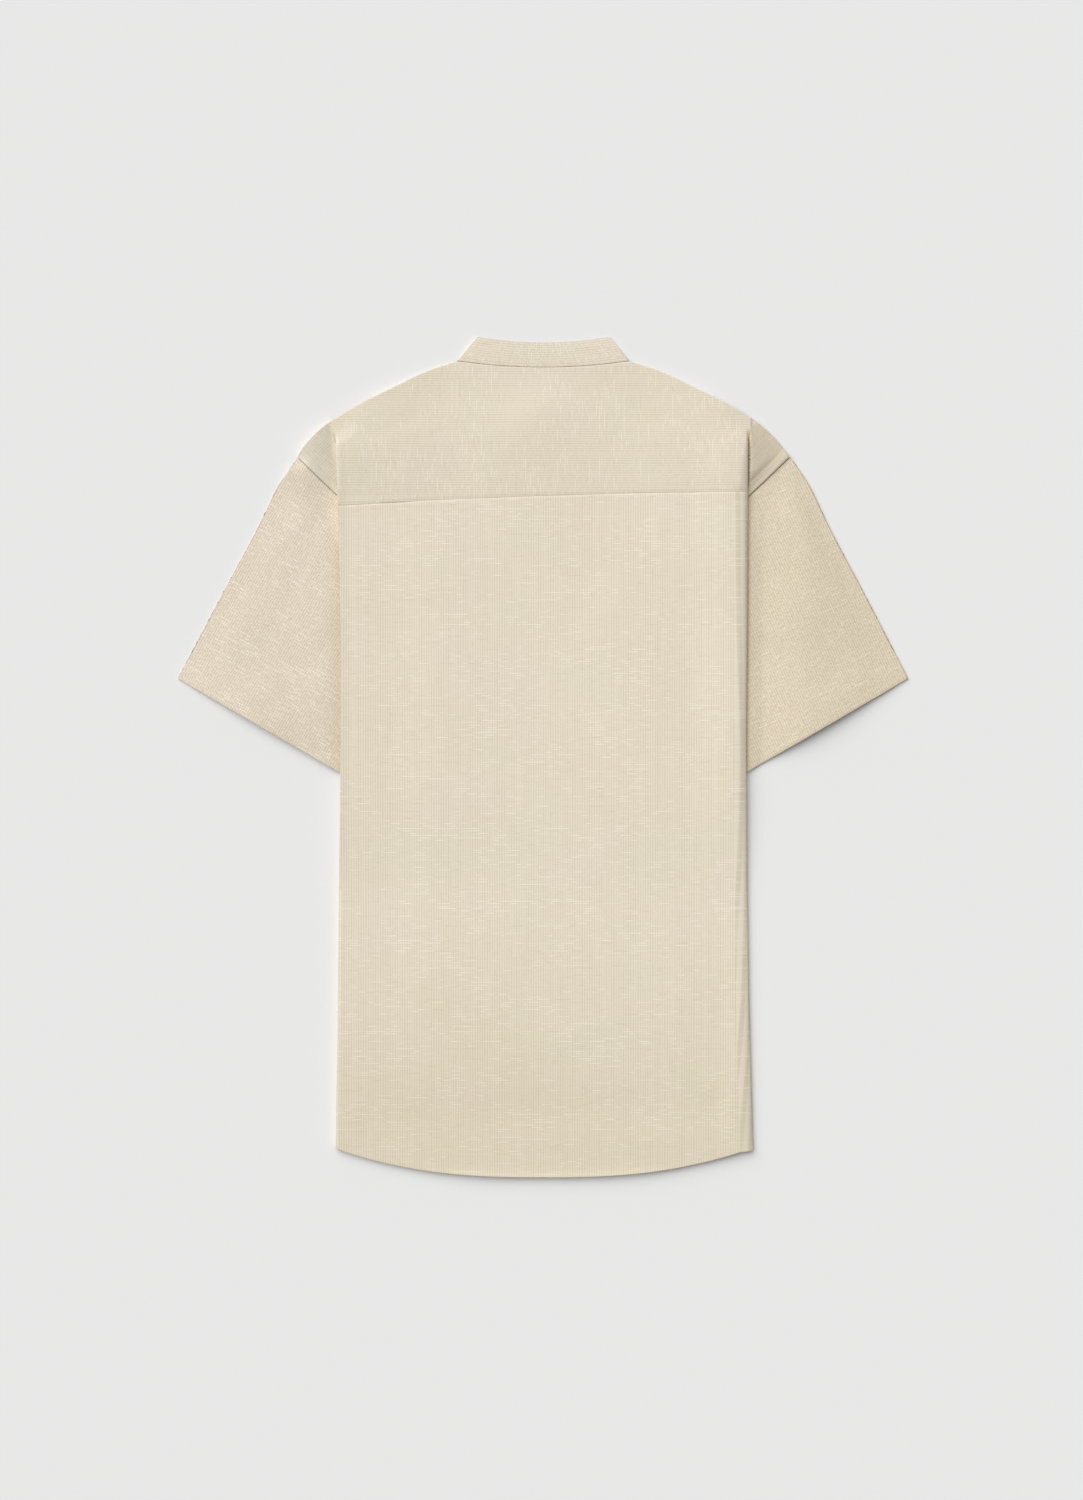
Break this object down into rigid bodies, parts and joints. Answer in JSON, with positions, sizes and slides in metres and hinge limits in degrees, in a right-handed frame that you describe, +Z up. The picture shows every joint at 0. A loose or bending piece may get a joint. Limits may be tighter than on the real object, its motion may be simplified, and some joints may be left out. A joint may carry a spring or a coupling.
{
  "type": "mandarin collar shirt",
  "caption": "Short-sleeved woven shirt with a low stand collar, laid flat back up with both sides and sleeves folded under.",
  "frame": {"origin": "middle of the laid shirt's outline, on the surface that it lies on", "axes": "+X to the right of someone looking down at the shirt's back, +Y from the hem to the collar, +Z up from the surface"},
  "size_m": [0.6864, 0.7884, 0.0094],
  "materials": {
    "shirting": "matte plain-weave cotton with a fine two-tone cream stripe and pale slub yarns",
    "button": "polished cream resin"
  },
  "bodies": {
    "root": {"back": "shirting", "yoke": "shirting", "front_left": "shirting", "front_right": "shirting", "sleeve_left": "shirting", "sleeve_right": "shirting", "collar": "shirting", "collar_button": "button", "placket_button_1": "button", "placket_button_2": "button", "placket_button_3": "button", "placket_button_4": "button", "placket_button_5": "button", "placket_button_6": "button"}
  },
  "joints": []
}
